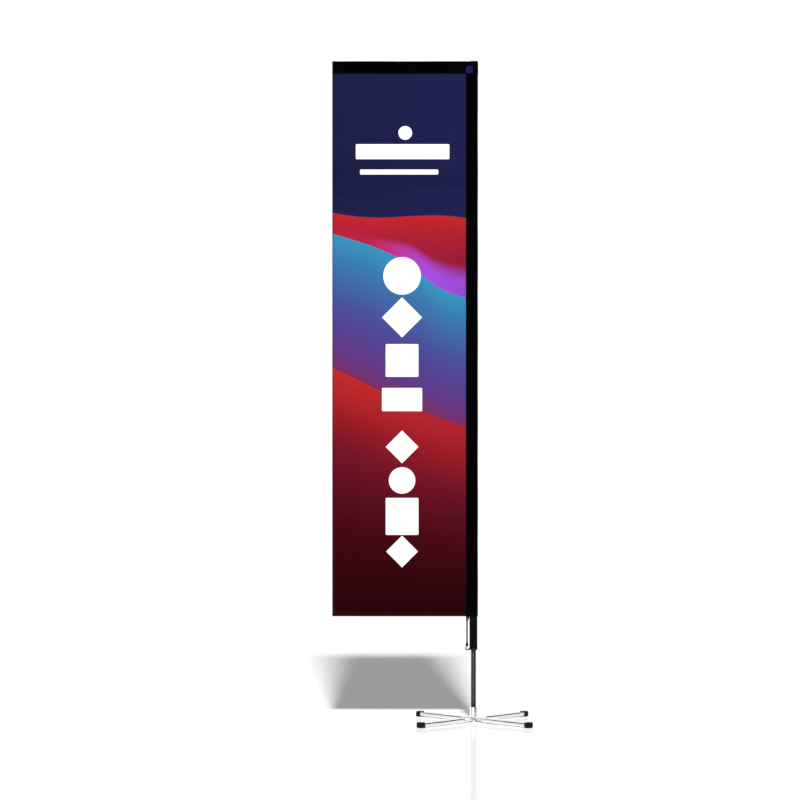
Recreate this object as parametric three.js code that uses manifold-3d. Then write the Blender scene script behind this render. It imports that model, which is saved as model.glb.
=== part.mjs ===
// A feather flag: a tall rectangular cloth banner on a plug-together pole, which turns on the
// ball bearings of a folding cross base. Millimetres, +Z up. The pole's axis is X = Y = 0 and
// the floor is Z = 0. Seen from the front (from -Y) the cloth hangs left of the pole, towards -X.

import * as THREE from "three";
import { mergeVertices } from "three/addons/utils/BufferGeometryUtils.js";
import Module from "manifold-3d";

const wasm = await Module();
wasm.setup();

// ---- Driving dimensions -------------------------------------------------------------------

const GAP = 0.3; // clearance between pieces that touch

// Cloth
const FLAG_TOP = 2500;
const FLAG_BOTTOM = 400;
const FLAG_LEFT = -534; // the cloth's free edge
const SEAM_X = -28.5; // where the printed panel meets the pole sleeve
const SEAM_Z = 2453; // where the printed panel meets the top sleeve
const SLEEVE_R = 17; // outside of the pole sleeve where it goes round the pole
const TOP_SLEEVE_R = 10.8; // outside of the top sleeve where it goes round the arm
const CLOTH = 0.8; // thickness of the sleeve cloth
const SEAM_HALF = 1.2; // half the thickness of a sleeve at its sewn edge
const SLIT_HALF = 0.4; // half the width of the hollow beside that edge
const SEAM_ALLOWANCE = 4.5; // width of cloth that is sewn flat beside a seam
const PANEL_THICKNESS = 1;
const PATCH_SIDE = 26;
const PATCH_LIFT = 1.4; // the patch's lower edge above SEAM_Z

// Pole and arm
const POLE_R = 15;
const POLE_BORE = 13.5;
const POLE_FOOT = 280;
const COLLAR_FOOT = 273; // underside of the moulded foot below the tube
const POLE_HEAD = 2462;
const POLE_SPLITS = [998, 1730]; // heights where the three sections meet
const COUPLER_HALF = 70; // how far a coupler reaches into each section
const COUPLER_WALL = 2.7;
const PLUG_R = POLE_BORE - GAP; // radius of what fits inside the pole
const ARM_R = 8;
const ARM_BORE = 6.8;
const ARM_Z = FLAG_TOP - TOP_SLEEVE_R;
const ARM_START = -17;
const ARM_END = -524;
const ARM_SPIGOT = 52; // how far the elbow reaches into the arm

// Spindle and its stop in the pole
const SPINDLE_R = 9.5;
const SPINDLE_TIP = 396;
const GUIDE_R = SPINDLE_R + 0.4; // bore of the bushes that slide over the spindle
const STUB_R = 3.75;
const NECK_R = 5.9;

// Hub and its two ball bearings
const HUB_R = 12.5;
const HUB_TOP = 57;
const BOLT_R = 6; // threaded boss under the hub, through both bars
const BOLT_FOOT = 2.6;
const BEARING = { inner: 4.05, outer: 11, height: 7, ball: 1.75, pitch: 7.7, balls: 7 };
const BEARING_Z = [33.5, 46.5];
const HUB_BORE = BEARING.outer + GAP;

// Cross base: two pressed tubes that cross at the hub
const BAR_W = 25;
const BAR_BOTTOM = 3;
const BAR_TOP = 19;
const BAR_WALL = 1.5;
const BAR_CORNER = 3;
const BAR_HALF = 288;
const FLAT_HALF = 48; // half the length that is pressed flat, so that the bars can fold
const PRESS_RUN = 13; // length over which the tube goes from flat to full height
const BLIND_END = 72; // where each tube's hollow ends
const LOWER_FLAT = [7, 11];
const UPPER_FLAT = [12.4, 19];
const BAR_ANGLE = Math.PI / 4;

// Rubber shoes on the ends of the bars
const SHOE_W = 28.6;
const SHOE_TOP = 20.6;
const SHOE_CORNER = 4;
const SHOE_COVER = 15; // length of bar inside the shoe
const SHOE_END = 5;

// Tension cord, from the sleeve's lower corner to the hook at the pole's foot
const CORD_R = 2.9;
const CORD_X = -24.2;
const TAB = { left: -28.6, right: -15.8, foot: 389, half: 1.2, eye: 2.4 };
const KNOT_R = 4.6;
const KNOT_FOOT = 380.5;
const BEAD_X = -24.6;
const BEAD_TOP = 300.5;
const BEAD_FOOT = 285.7;
const HOOK_WIRE = 1.7;
const HOOK_R = 6.2; // radius of the hook's bend
const HOOK_Z = 279.4;
const LUG_Z = 276.2;
const LUG_FACE = -18.4;
const HOOK_ROOT = -16.8; // where the hook's wire ends inside the lug

// ---- Finishes -----------------------------------------------------------------------------

const FINISH = {
  chrome: { color: 0xdddde0, roughness: 0.08, metalness: 1 },
  steel: { color: 0xb4b6ba, roughness: 0.3, metalness: 1 },
  darkSteel: { color: 0x56565a, roughness: 0.25, metalness: 1 },
  brass: { color: 0xb08d3c, roughness: 0.3, metalness: 1 },
  blackTube: { color: 0x0c0c0d, roughness: 0.35, metalness: 0.6 },
  blackPlastic: { color: 0x111112, roughness: 0.5, metalness: 0 },
  nylon: { color: 0xe4e2da, roughness: 0.5, metalness: 0 },
  rubber: { color: 0x0d0d0d, roughness: 0.8, metalness: 0 },
  blackCloth: { color: 0x050506, roughness: 0.95, metalness: 0 },
  navyCloth: { color: 0x1f1e50, roughness: 0.9, metalness: 0 },
  printedCloth: { color: 0x8a1a30, roughness: 0.85, metalness: 0 },
  cord: { color: 0x6c6c6e, roughness: 0.9, metalness: 0 },
};

const flag = new THREE.Group();
flag.name = "feather_flag";

function add(name, geometry, finish, parent = flag) {
  const material = new THREE.MeshStandardMaterial(FINISH[finish]);
  const mesh = new THREE.Mesh(geometry, material);
  mesh.name = name;
  parent.add(mesh);
  return mesh;
}

// ---- Shape helpers ------------------------------------------------------------------------

// The same surface with shared corners and without the empty triangles at a pole.
function weld(geometry) {
  geometry.deleteAttribute("normal");
  geometry.deleteAttribute("uv");
  const merged = mergeVertices(geometry, 1e-4);
  const corners = merged.index.array;
  const kept = [];
  for (let i = 0; i < corners.length; i += 3) {
    const [a, b, c] = corners.slice(i, i + 3);
    if (a !== b && b !== c && c !== a) kept.push(a, b, c);
  }
  merged.setIndex(kept);
  return merged;
}

function toSolid(geometry) {
  const welded = weld(geometry.clone());
  const vertProperties = new Float32Array(welded.attributes.position.array);
  const triVerts = new Uint32Array(welded.index.array);
  return new wasm.Manifold(new wasm.Mesh({ numProp: 3, vertProperties, triVerts }));
}

function toGeometry(solid) {
  const mesh = solid.getMesh();
  const geometry = new THREE.BufferGeometry();
  geometry.setAttribute("position", new THREE.BufferAttribute(mesh.vertProperties, 3));
  geometry.setIndex(new THREE.BufferAttribute(mesh.triVerts, 1));
  return geometry;
}

function join(first, ...others) {
  return toGeometry(others.reduce((sum, g) => sum.add(toSolid(g)), toSolid(first)));
}

function cut(first, ...others) {
  return toGeometry(others.reduce((rest, g) => rest.subtract(toSolid(g)), toSolid(first)));
}

function common(first, second) {
  return toGeometry(toSolid(first).intersect(toSolid(second)));
}

// A turned solid about Z. The profile's [radius, height] corners go up the outside.
function turned(profile, segments = 32) {
  const points = profile.map(([radius, height]) => new THREE.Vector2(radius, height));
  return weld(new THREE.LatheGeometry(points, segments)).rotateX(Math.PI / 2);
}

function rod(radius, bottom, top, segments = 32) {
  return turned([[0, bottom], [radius, bottom], [radius, top], [0, top]], segments);
}

function pipe(inner, outer, bottom, top, segments = 32) {
  const profile = [[inner, bottom], [outer, bottom], [outer, top], [inner, top], [inner, bottom]];
  return turned(profile, segments);
}

// A shape in the XY plane pushed up from bottom to top.
function prism(shape, bottom, top, curveSegments = 12) {
  const options = { depth: top - bottom, bevelEnabled: false, curveSegments };
  return new THREE.ExtrudeGeometry(shape, options).translate(0, 0, bottom);
}

function block(x0, x1, y0, y1, z0, z1) {
  const box = new THREE.BoxGeometry(x1 - x0, y1 - y0, z1 - z0);
  return box.translate((x0 + x1) / 2, (y0 + y1) / 2, (z0 + z1) / 2);
}

// A round wire or cord along a curve, eight-sided.
function wire(curve, radius, steps) {
  const section = new THREE.Shape();
  section.absarc(0, 0, radius, 0, 2 * Math.PI, false);
  const options = { extrudePath: curve, steps, bevelEnabled: false, curveSegments: 4 };
  return weld(new THREE.ExtrudeGeometry(section, options));
}

// A closed skin over rings of equally many points, with a flat end at each side.
function loft(rings) {
  const count = rings[0].length;
  const index = [];
  rings.slice(1).forEach((_, r) => {
    for (let i = 0; i < count; i++) {
      const [a, b] = [r * count + i, r * count + ((i + 1) % count)];
      index.push(a, b, a + count, b, b + count, a + count);
    }
  });
  const last = (rings.length - 1) * count;
  for (let i = 1; i < count - 1; i++) {
    index.push(0, i + 1, i, last, last + i, last + i + 1);
  }
  const geometry = new THREE.BufferGeometry().setFromPoints(rings.flat());
  geometry.setIndex(index);
  return geometry;
}

// A rounded rectangle across X, between two heights.
function tubeRing(x, width, bottom, top, corner) {
  const steps = 3;
  const radius = Math.min(corner, (top - bottom) / 2 - 0.2);
  const ring = [];
  for (let quarter = 0; quarter < 4; quarter++) {
    const side = quarter === 0 || quarter === 3 ? 1 : -1;
    const y = side * (width / 2 - radius);
    const z = quarter < 2 ? top - radius : bottom + radius;
    for (let i = 0; i <= steps; i++) {
      const angle = ((quarter + i / steps) * Math.PI) / 2;
      ring.push(new THREE.Vector3(x, y + radius * Math.cos(angle), z + radius * Math.sin(angle)));
    }
  }
  return ring;
}

// The section of a cloth sleeve round a rod: round on the right, sewn together at tipX.
function sleeveShape(radius, tipX, tipHalf) {
  const reach = Math.hypot(tipX, tipHalf);
  const tangent = Math.atan2(tipHalf, tipX) - Math.acos(radius / reach);
  const shape = new THREE.Shape();
  shape.moveTo(tipX, -tipHalf);
  shape.lineTo(radius * Math.cos(tangent), -radius * Math.sin(tangent));
  shape.absarc(0, 0, radius, -tangent, tangent, false);
  shape.lineTo(tipX, tipHalf);
  shape.closePath();
  return shape;
}

// ---- Cross base ---------------------------------------------------------------------------

function barSkin(flat, inset, half, flatHalf) {
  const full = (x) =>
    tubeRing(x, BAR_W - 2 * inset, BAR_BOTTOM + inset, BAR_TOP - inset, BAR_CORNER - inset);
  const pressed = (x) => tubeRing(x, BAR_W, flat[0], flat[1], BAR_CORNER);
  return loft([
    full(-half),
    full(-flatHalf - PRESS_RUN),
    pressed(-flatHalf),
    pressed(flatHalf),
    full(flatHalf + PRESS_RUN),
    full(half),
  ]);
}

function barHollow(side) {
  const inset = BAR_WALL;
  const ends = [side * BLIND_END, side * (BAR_HALF + 1)].sort((a, b) => a - b);
  const rings = ends.map((x) =>
    tubeRing(x, BAR_W - 2 * inset, BAR_BOTTOM + inset, BAR_TOP - inset, BAR_CORNER - inset),
  );
  return loft(rings);
}

function bar(flat) {
  const hole = rod(BOLT_R + GAP, 0, BAR_TOP + 1, 24);
  return cut(barSkin(flat, 0, BAR_HALF, FLAT_HALF), barHollow(1), barHollow(-1), hole);
}

function shoe() {
  const mouth = BAR_HALF - SHOE_COVER;
  const end = BAR_HALF + SHOE_END;
  const outside = (x, shrink) =>
    tubeRing(x, SHOE_W - 2 * shrink, 0, SHOE_TOP - shrink, SHOE_CORNER);
  const body = loft([
    outside(mouth, 0.8),
    outside(mouth + 1.5, 0),
    outside(end - 2.5, 0),
    outside(end - 0.7, 0.9),
    outside(end, 2.4),
  ]);
  const socket = loft(
    [mouth - 1, BAR_HALF + GAP].map((x) =>
      tubeRing(x, BAR_W + 2 * GAP, BAR_BOTTOM - GAP, BAR_TOP + GAP, BAR_CORNER + GAP),
    ),
  );
  return cut(body, socket);
}

function crossBase() {
  const bars = [
    { name: "lower", flat: LOWER_FLAT, angle: BAR_ANGLE, ends: ["back_right", "front_left"] },
    { name: "upper", flat: UPPER_FLAT, angle: -BAR_ANGLE, ends: ["front_right", "back_left"] },
  ];
  bars.forEach(({ name, flat, angle, ends }) => {
    const group = new THREE.Group();
    group.rotation.z = angle;
    flag.add(group);
    add("base_bar_" + name, bar(flat), "chrome", group);
    ends.forEach((end, i) => {
      add("shoe_" + end, shoe(), "rubber", group).rotation.z = i * Math.PI;
    });
  });
  const [lowerTop, upperBottom] = [LOWER_FLAT[1], UPPER_FLAT[0]];
  add(
    "pivot_washer",
    pipe(BOLT_R + GAP, BAR_W / 2 - 1, lowerTop + GAP, upperBottom - GAP, 36),
    "nylon",
  );
}

// ---- Hub, bearings and spindle ------------------------------------------------------------

function hub() {
  const floor = 30;
  const ledge = BEARING_Z[0] - GAP;
  return turned(
    [
      [0, BOLT_FOOT],
      [BOLT_R - 0.5, BOLT_FOOT],
      [BOLT_R, BOLT_FOOT + 0.5],
      [BOLT_R, BAR_TOP + GAP],
      [HUB_R, BAR_TOP + GAP],
      [HUB_R, HUB_TOP - 1.2],
      [HUB_R - 0.4, HUB_TOP - 0.3],
      [HUB_BORE + 0.4, HUB_TOP],
      [HUB_BORE, HUB_TOP - 0.5],
      [HUB_BORE, ledge],
      [BEARING.outer - 1.5, ledge],
      [BEARING.outer - 1.5, floor],
      [0, floor],
    ],
    40,
  );
}

function hexNut() {
  const acrossCorners = 10.9;
  const shape = new THREE.Shape();
  for (let i = 0; i < 6; i++) {
    const angle = (i * Math.PI) / 3;
    const corner = [acrossCorners * Math.cos(angle), acrossCorners * Math.sin(angle)];
    if (i) shape.lineTo(...corner);
    else shape.moveTo(...corner);
  }
  shape.closePath();
  const hole = new THREE.Path();
  hole.absarc(0, 0, BOLT_R + GAP, 0, 2 * Math.PI, true);
  shape.holes.push(hole);
  return prism(shape, BOLT_FOOT, LOWER_FLAT[0] - GAP);
}

// A rubber cup pushed over the nut. It keeps the steel off the floor under the hub.
function nutCap() {
  const [bore, outside, rim] = [11.3, 13.5, LOWER_FLAT[0] - 2 * GAP];
  return turned(
    [
      [0, 0],
      [outside - 0.7, 0],
      [outside, 0.7],
      [outside, rim - 0.8],
      [outside - 0.8, rim],
      [bore, rim],
      [bore, BOLT_FOOT - GAP],
      [0, BOLT_FOOT - GAP],
    ],
    28,
  );
}

function race(wall, rim, groove, bottom) {
  const middle = bottom + BEARING.height / 2;
  const top = bottom + BEARING.height;
  const ball = [
    [rim, middle - 1.4],
    [groove, middle - 0.7],
    [groove, middle + 0.7],
    [rim, middle + 1.4],
  ];
  const inner = [[wall, bottom], [rim, bottom], ...ball, [rim, top], [wall, top], [wall, bottom]];
  // An outer race has its groove on the inside, so its outline runs the other way round.
  return turned(wall < rim ? inner : inner.reverse(), 28);
}

function ballCage(bottom) {
  const middle = bottom + BEARING.height / 2;
  const ring = pipe(BEARING.pitch - 0.5, BEARING.pitch + 0.5, middle - 0.8, middle + 0.8, 21);
  const balls = Array.from({ length: BEARING.balls }, (_, i) => {
    const angle = (i * 2 * Math.PI) / BEARING.balls;
    const ball = new THREE.SphereGeometry(BEARING.ball, 10, 6).rotateX(Math.PI / 2);
    return ball.translate(BEARING.pitch * Math.cos(angle), BEARING.pitch * Math.sin(angle), middle);
  });
  return join(ring, ...balls);
}

function retainingClip() {
  const [inner, outer, mouth] = [3.2, 5.6, 0.45];
  const shape = new THREE.Shape();
  shape.absarc(0, 0, outer, mouth, 2 * Math.PI - mouth, false);
  shape.absarc(0, 0, inner, 2 * Math.PI - mouth, mouth, true);
  shape.closePath();
  return prism(shape, 32, 33, 20);
}

function spindle() {
  const shoulder = BEARING_Z[1] + BEARING.height + GAP;
  return turned(
    [
      [0, 31],
      [STUB_R, 31],
      [STUB_R, 31.7],
      [2.9, 31.7],
      [2.9, 33.3],
      [STUB_R, 33.3],
      [STUB_R, shoulder],
      [NECK_R, shoulder],
      [NECK_R, HUB_TOP + GAP],
      [SPINDLE_R - 0.6, HUB_TOP + GAP],
      [SPINDLE_R, HUB_TOP + GAP + 0.6],
      [SPINDLE_R, SPINDLE_TIP - 5],
      [SPINDLE_R - 2.5, SPINDLE_TIP],
      [0, SPINDLE_TIP],
    ],
    36,
  );
}

function turningHub() {
  const { inner, outer, height, ball, pitch } = BEARING;
  const sealFoot = BEARING_Z[1] + height + 2 * GAP;
  add("hub", hub(), "chrome");
  add("hub_nut", hexNut(), "steel");
  add("hub_nut_cap", nutCap(), "nylon");
  ["lower", "upper"].forEach((place, i) => {
    const foot = BEARING_Z[i];
    const [near, far] = [pitch - ball - GAP, pitch + ball + GAP];
    add("bearing_inner_race_" + place, race(inner, near + 0.45, near, foot), "steel");
    add("bearing_outer_race_" + place, race(outer, far - 0.45, far, foot), "steel");
    add("bearing_ball_cage_" + place, ballCage(foot), "brass");
  });
  const [spacerFoot, spacerTop] = [BEARING_Z[0] + height + GAP, BEARING_Z[1] - GAP];
  add("bearing_spacer", pipe(inner, NECK_R - 0.2, spacerFoot, spacerTop, 28), "steel");
  add("retaining_clip", retainingClip(), "steel");
  add("spindle", spindle(), "darkSteel");
  add("dust_seal", pipe(NECK_R + GAP, HUB_BORE - GAP, sealFoot, HUB_TOP - GAP, 28), "rubber");
}

// ---- Pole and arm -------------------------------------------------------------------------

function poleSections() {
  const cuts = [POLE_FOOT, ...POLE_SPLITS, POLE_HEAD];
  ["lower", "middle", "upper"].forEach((place, i) => {
    const tube = pipe(POLE_BORE, POLE_R, cuts[i] + (i ? GAP : 0), cuts[i + 1], 40);
    add("pole_section_" + place, tube, "blackTube");
  });
  ["lower", "upper"].forEach((place, i) => {
    const [foot, head] = [POLE_SPLITS[i] - COUPLER_HALF, POLE_SPLITS[i] + COUPLER_HALF];
    const bore = PLUG_R - COUPLER_WALL;
    const profile = [
      [bore, foot],
      [PLUG_R - 1, foot],
      [PLUG_R, foot + 3],
      [PLUG_R, head - 3],
      [PLUG_R - 1, head],
      [bore, head],
      [bore, foot],
    ];
    add("pole_coupler_" + place, turned(profile), "steel");
  });
}

// The moulded foot of the pole: a collar under the tube, a bush inside the tube and a hook lug.
function poleFerrule() {
  const seat = POLE_FOOT - GAP;
  const bushTop = POLE_FOOT + 22;
  const body = turned(
    [
      [GUIDE_R, COLLAR_FOOT],
      [POLE_R - 0.3, COLLAR_FOOT],
      [POLE_R + 0.2, COLLAR_FOOT + 0.5],
      [POLE_R + 0.2, seat],
      [PLUG_R, seat],
      [PLUG_R, bushTop],
      [GUIDE_R, bushTop],
      [GUIDE_R, COLLAR_FOOT],
    ],
    40,
  );
  const lug = block(LUG_FACE, -POLE_R + 1, -3.4, 3.4, COLLAR_FOOT, seat);
  const bore = rod(HOOK_WIRE + 2 * GAP, 0, 4, 12).rotateY(-Math.PI / 2);
  const hole = bore.translate(HOOK_ROOT + GAP, 0, LUG_Z);
  return cut(join(body, lug), hole);
}

function stopPlug() {
  const [foot, head] = [SPINDLE_TIP + GAP, SPINDLE_TIP + 26];
  const profile = [[0, foot], [PLUG_R - 0.8, foot], [PLUG_R, foot + 1], [PLUG_R, head], [0, head]];
  return turned(profile);
}

// The corner piece: a plug for the pole, a rounded head and a spigot for the arm.
function elbow() {
  const crown = FLAG_TOP - 2.2;
  const upright = turned(
    [
      [0, POLE_HEAD - 50],
      [PLUG_R - 0.8, POLE_HEAD - 50],
      [PLUG_R, POLE_HEAD - 48],
      [PLUG_R, POLE_HEAD + GAP],
      [POLE_R, POLE_HEAD + GAP],
      [POLE_R, crown - 10],
      [POLE_R - 1.2, crown - 5],
      [POLE_R - 4.5, crown - 1.4],
      [POLE_R - 8, crown],
      [0, crown],
    ],
    36,
  );
  const along = (geometry) => geometry.rotateY(-Math.PI / 2).translate(0, 0, ARM_Z);
  const collar = along(rod(ARM_R + 1, 0, -ARM_START - GAP, 28));
  const spigot = along(rod(ARM_BORE - GAP, 0, -ARM_START + ARM_SPIGOT, 28));
  return join(upright, collar, spigot);
}

function arm() {
  const tube = pipe(ARM_BORE, ARM_R, -ARM_START, -ARM_END, 28);
  return tube.rotateY(-Math.PI / 2).translate(0, 0, ARM_Z);
}

function armTip() {
  const face = -ARM_END + GAP;
  const profile = [
    [0, face - 24],
    [ARM_BORE - GAP - 0.6, face - 24],
    [ARM_BORE - GAP, face - 22],
    [ARM_BORE - GAP, face],
    [ARM_R + 0.6, face],
    [ARM_R + 0.6, face + 3],
    [ARM_R - 1, face + 5.6],
    [ARM_R - 4, face + 7],
    [0, face + 7.4],
  ];
  return turned(profile, 28).rotateY(-Math.PI / 2).translate(0, 0, ARM_Z);
}

function pole() {
  poleSections();
  add("pole_foot_ferrule", poleFerrule(), "blackPlastic");
  add("spindle_guide_bush", pipe(GUIDE_R, PLUG_R, 340, 362, 36), "nylon");
  add("spindle_stop_plug", stopPlug(), "nylon");
  add("elbow_connector", elbow(), "blackPlastic");
  add("top_arm", arm(), "blackTube");
  add("arm_tip_cap", armTip(), "rubber");
}

// ---- Tension cord -------------------------------------------------------------------------

function tensionHook() {
  const points = [HOOK_ROOT, LUG_FACE].map((x) => new THREE.Vector3(x, 0, LUG_Z));
  for (let angle = -60; angle >= -220; angle -= 20) {
    const turn = (angle * Math.PI) / 180;
    const [x, z] = [BEAD_X + HOOK_R * Math.cos(turn), HOOK_Z + HOOK_R * Math.sin(turn)];
    points.push(new THREE.Vector3(x, 0, z));
  }
  return wire(new THREE.CatmullRomCurve3(points), HOOK_WIRE, 22);
}

// The small loop under the bead, which goes round the bottom of the hook.
function cordLoop() {
  const [half, radius] = [3.3, 1];
  const eye = HOOK_Z - HOOK_R;
  const points = [
    [-1.8, BEAD_FOOT - GAP],
    [-half, eye + 5],
    [-half, eye],
    [0, eye - HOOK_WIRE - radius - GAP],
    [half, eye],
    [half, eye + 5],
    [1.8, BEAD_FOOT - GAP],
  ];
  const curve = new THREE.CatmullRomCurve3(points.map(([y, z]) => new THREE.Vector3(BEAD_X, y, z)));
  return wire(curve, radius, 18);
}

function bead() {
  const height = BEAD_TOP - BEAD_FOOT;
  const outline = [[3.7, 0.05], [5, 0.25], [5.2, 0.42], [4.4, 0.7], [3.5, 0.92], [3.1, 1]];
  const profile = outline.map(([radius, share]) => [radius, BEAD_FOOT + share * height]);
  const closed = [[0, BEAD_FOOT], [2.9, BEAD_FOOT], ...profile, [0, BEAD_TOP]];
  return turned(closed, 20).translate(BEAD_X, 0, 0);
}

function knot() {
  const height = TAB.foot - GAP - KNOT_FOOT;
  const profile = [[0, KNOT_FOOT]];
  for (let i = 1; i < 6; i++) {
    const angle = -Math.PI / 2 + (i * Math.PI) / 6;
    const z = KNOT_FOOT + (height / 2) * (1 + Math.sin(angle));
    profile.push([KNOT_R * Math.cos(angle), z]);
  }
  profile.push([0, KNOT_FOOT + height]);
  return turned(profile, 20).translate(CORD_X, 0, 0);
}

function cord() {
  const top = new THREE.Vector3(CORD_X, 0, KNOT_FOOT - GAP);
  const bottom = new THREE.Vector3(BEAD_X, 0, BEAD_TOP + GAP);
  const middle = top.clone().lerp(bottom, 0.5);
  return wire(new THREE.CatmullRomCurve3([top, middle, bottom]), CORD_R, 8);
}

// A webbing tab that hangs from the sleeve's lower corner, with an eye for the cord.
function sleeveTab() {
  const { left, right, foot, half, eye } = TAB;
  const top = FLAG_BOTTOM - GAP;
  const shape = new THREE.Shape();
  shape.moveTo(left, -top);
  shape.lineTo(right, -top);
  shape.lineTo(right, -foot);
  shape.lineTo(left, -foot);
  shape.closePath();
  const hole = new THREE.Path();
  hole.absarc(CORD_X, -(foot + top) / 2, eye, 0, 2 * Math.PI, true);
  shape.holes.push(hole);
  return prism(shape, -half, half, 8).rotateX(-Math.PI / 2);
}

function tensioner() {
  add("sleeve_tab", sleeveTab(), "blackCloth");
  add("cord_knot", knot(), "blackPlastic");
  add("tension_cord", cord(), "cord");
  add("cord_bead", bead(), "blackPlastic");
  add("cord_loop", cordLoop(), "cord");
  add("tension_hook", tensionHook(), "darkSteel");
}

// ---- Cloth --------------------------------------------------------------------------------

function poleSleeve() {
  const shape = sleeveShape(SLEEVE_R, SEAM_X, SEAM_HALF);
  const hollow = sleeveShape(SLEEVE_R - CLOTH, SEAM_X + SEAM_ALLOWANCE, SLIT_HALF);
  shape.holes.push(new THREE.Path(hollow.getPoints(14)));
  return prism(shape, FLAG_BOTTOM, SEAM_Z - GAP, 14);
}

// The top sleeve and the corner pocket over the elbow, grown outwards by a margin.
function cornerSkin(margin) {
  const upright = sleeveShape(SLEEVE_R + margin, SEAM_X - margin, SEAM_HALF + margin);
  const level = sleeveShape(TOP_SLEEVE_R + margin, SEAM_Z - ARM_Z - margin, SEAM_HALF + margin);
  const pocket = prism(upright, SEAM_Z - margin, FLAG_TOP + margin, 14);
  const run = prism(level, 0, -FLAG_LEFT, 12).rotateY(-Math.PI / 2).translate(0, 0, ARM_Z);
  return join(pocket, run);
}

function topSleeve() {
  const upright = sleeveShape(SLEEVE_R - CLOTH, SEAM_X + SEAM_ALLOWANCE, SLIT_HALF);
  const tip = SEAM_Z + SEAM_ALLOWANCE - ARM_Z;
  const level = sleeveShape(TOP_SLEEVE_R - CLOTH, tip, SLIT_HALF);
  const pocket = prism(upright, SEAM_Z - 1, FLAG_TOP - CLOTH, 14);
  const run = prism(level, 0, 1 - FLAG_LEFT, 12).rotateY(-Math.PI / 2).translate(0, 0, ARM_Z);
  return cut(cornerSkin(0), pocket, run);
}

function cornerPatch() {
  const foot = SEAM_Z + PATCH_LIFT;
  const window = block(SEAM_X, SEAM_X + PATCH_SIDE, -30, 0, foot, foot + PATCH_SIDE);
  return common(cut(cornerSkin(GAP + CLOTH), cornerSkin(GAP)), window);
}

function cloth() {
  const half = PANEL_THICKNESS / 2;
  const panel = block(FLAG_LEFT, SEAM_X - GAP, -half, half, FLAG_BOTTOM, SEAM_Z - GAP);
  add("flag_panel", panel, "printedCloth");
  add("pole_sleeve", poleSleeve(), "blackCloth");
  add("top_sleeve", topSleeve(), "blackCloth");
  add("corner_patch", cornerPatch(), "navyCloth");
}

crossBase();
turningHub();
pole();
tensioner();
cloth();

export default flag;
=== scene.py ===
"""The looks of a rectangular flag on a pole that stands in a folding cross base.

Lengths are in metres. The pole's axis is X = Y = 0 and the floor is Z = 0. The print faces -Y, and the
cloth hangs towards -X.
"""

import math
import random

import bmesh
import bpy
import numpy as np
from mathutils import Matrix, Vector


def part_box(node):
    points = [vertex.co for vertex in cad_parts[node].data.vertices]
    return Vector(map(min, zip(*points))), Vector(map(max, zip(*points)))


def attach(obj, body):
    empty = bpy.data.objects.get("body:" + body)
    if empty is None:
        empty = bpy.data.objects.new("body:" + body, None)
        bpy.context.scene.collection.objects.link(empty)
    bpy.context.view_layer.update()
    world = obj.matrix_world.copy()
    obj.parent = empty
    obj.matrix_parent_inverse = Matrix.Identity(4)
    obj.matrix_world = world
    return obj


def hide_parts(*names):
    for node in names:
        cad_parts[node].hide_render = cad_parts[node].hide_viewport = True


MM = 0.001

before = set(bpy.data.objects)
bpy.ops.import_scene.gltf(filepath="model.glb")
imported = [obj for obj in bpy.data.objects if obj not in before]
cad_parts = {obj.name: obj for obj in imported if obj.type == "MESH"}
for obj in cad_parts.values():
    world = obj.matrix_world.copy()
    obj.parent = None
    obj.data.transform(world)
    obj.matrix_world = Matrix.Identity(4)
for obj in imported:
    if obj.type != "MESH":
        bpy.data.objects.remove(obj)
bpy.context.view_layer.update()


# ---- Sizes taken from the frame

panel_low, panel_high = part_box("flag_panel")
pole_sleeve_low, pole_sleeve_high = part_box("pole_sleeve")
top_sleeve_low, top_sleeve_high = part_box("top_sleeve")
knot_low, knot_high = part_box("cord_knot")
bead_low, bead_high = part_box("cord_bead")
tab_low, tab_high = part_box("sleeve_tab")
hook_low, hook_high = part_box("tension_hook")

FLAG_LEFT = panel_low.x
FLAG_FOOT = panel_low.z
FLAG_HEAD = top_sleeve_high.z
SEAM_X = pole_sleeve_low.x
SEAM_Z = panel_high.z + 0.3 * MM
PANEL_WIDE = SEAM_X - FLAG_LEFT
PANEL_TALL = SEAM_Z - FLAG_FOOT
SLEEVE_R = pole_sleeve_high.x
ARM_SLEEVE_R = 10.8 * MM
ARM_Z = FLAG_HEAD - ARM_SLEEVE_R

CLOTH = 0.8 * MM  # thickness of the sleeve cloth
SEAM_HALF = 1.2 * MM  # half the thickness of a sleeve at its sewn edge
SEAM_LAP = 4 * MM  # how far the panel reaches between the two lips of a sleeve
PANEL_CLOTH = 0.5 * MM
HEM = 13 * MM
HEM_CLOTH = 1.3 * MM
POCKET_LIFT = 0.9 * MM  # how far the corner pocket stands off the sleeves that it covers
POCKET_LAP = 7 * MM


# ---- Mesh helpers


def add_mesh(name, points, faces, materials):
    mesh = bpy.data.meshes.new(name)
    mesh.from_pydata(np.asarray(points, float).tolist(), [], faces)
    mesh.validate()
    mesh.shade_smooth()
    for material in materials:
        mesh.materials.append(material)
    piece = bpy.data.objects.new(name, mesh)
    bpy.context.scene.collection.objects.link(piece)
    return piece


def grid_faces(rows, columns, wrap=False):
    """Quads of a grid of points, row by row. wrap joins each row's last point to its first."""
    faces = []
    across = columns if wrap else columns - 1
    for row in range(rows - 1):
        low, high = row * columns, (row + 1) * columns
        for column in range(across):
            beside = (column + 1) % columns
            faces.append((low + column, low + beside, high + beside, high + column))
    return faces


def end_caps(rows, columns):
    """The two faces that close a wrapped grid at its first and last rows."""
    last = (rows - 1) * columns
    return [tuple(reversed(range(columns))), tuple(range(last, last + columns))]


def closing_faces(rows, columns):
    """Quads that join a wrapped grid's last row to its first."""
    last = (rows - 1) * columns
    return [(last + i, last + (i + 1) % columns, (i + 1) % columns, i) for i in range(columns)]


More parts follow.
